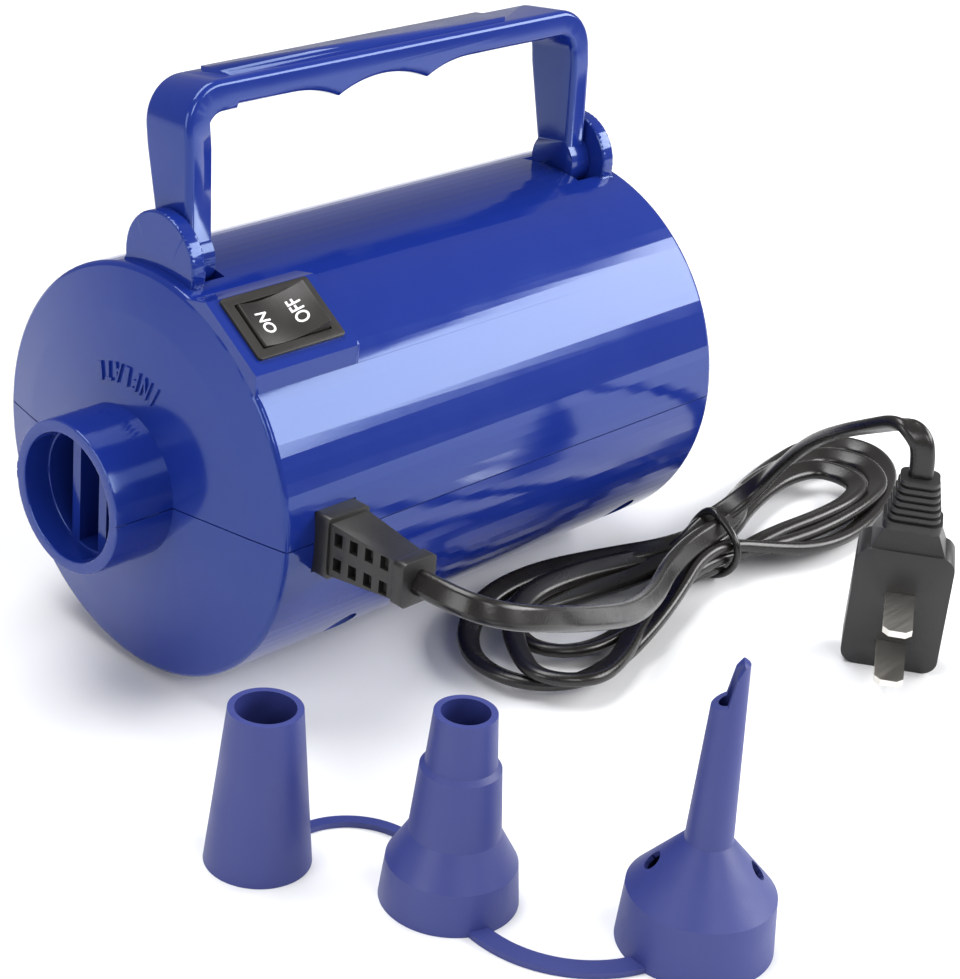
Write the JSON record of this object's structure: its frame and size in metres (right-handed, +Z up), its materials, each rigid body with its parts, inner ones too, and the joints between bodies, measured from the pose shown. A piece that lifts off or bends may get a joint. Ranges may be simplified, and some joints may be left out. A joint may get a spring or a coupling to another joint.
{
  "type": "electric air pump",
  "caption": "Cylindrical mains air pump with inflate and deflate ports, swinging carry handle, rocker switch, tied cord with plug and a strapped nozzle set.",
  "frame": {"origin": "on the floor, under the middle of the barrel, on the underside of the rating plate plinth", "axes": "+X along the barrel's axis from the inflate port to the deflate port, +Y away from the switch and cord side, +Z up"},
  "size_m": [0.2566, 0.1973, 0.1274],
  "materials": {
    "blue_shell": "gloss",
    "blue_nozzle": "matte",
    "black_switch": "matte",
    "black_rubber": "satin",
    "black_plug": "satin",
    "plated_brass": "bright nickel plate",
    "steel": "zinc plated",
    "brass": "plain",
    "copper": "enamelled wire",
    "ferrite": "matte",
    "carbon": "matte",
    "nylon": "satin",
    "inner_plastic": "matte",
    "board": "solder mask",
    "wire": "satin"
  },
  "bodies": {
    "housing": {"upper_shell": "blue_shell", "lower_shell": "blue_shell", "housing_screws": "steel", "handle_pins": "steel", "switch_bezel": "black_switch", "switch_terminals": "brass", "motor_can": "steel", "motor_end_cap": "inner_plastic", "motor_magnets": "ferrite", "motor_screws": "steel", "carbon_brushes": "carbon", "front_bearing": "brass", "rear_bearing": "brass", "motor_cradle": "inner_plastic", "stator_vanes": "inner_plastic", "fan_baffle": "inner_plastic", "rectifier_board": "board", "board_components": "inner_plastic", "internal_leads": "wire", "strain_relief": "black_rubber", "cord_lead": "black_rubber", "cord_hank": "black_rubber", "cord_tail": "black_rubber", "cord_tie": "black_plug", "plug_body": "black_plug", "plug_blades": "plated_brass"},
    "rotor": {"motor_shaft": "steel", "armature_core": "steel", "armature_windings": "copper", "commutator": "copper", "impeller": "nylon", "impeller_nut": "steel"},
    "handle": {"handle": "blue_shell"},
    "rocker": {"rocker": "black_switch"},
    "nozzle_set": {"cone_nozzle": "blue_nozzle", "stepped_nozzle": "blue_nozzle", "needle_nozzle": "blue_nozzle", "short_strap": "blue_nozzle", "long_strap": "blue_nozzle"}
  },
  "joints": [
    {"name": "handle_swing", "type": "hinge", "parent": "housing", "child": "handle", "pos_m": [0, 0, 0.0913], "axis": [1, 0, 0], "range_deg": [-57, 73]},
    {"name": "rocker_tilt", "type": "hinge", "parent": "housing", "child": "rocker", "pos_m": [-0.05075, -0.02356, 0.08412], "axis": [0, 0.8387, 0.5446], "range_deg": [0, 20]},
    {"name": "rotor_spin", "type": "hinge", "parent": "housing", "child": "rotor", "pos_m": [0, 0, 0.046], "axis": [1, 0, 0], "continuous": true},
    {"name": "nozzle_lift", "type": "slide", "parent": "housing", "child": "nozzle_set", "axis": [0, 0, 1], "range_m": [0, 0.06]}
  ]
}
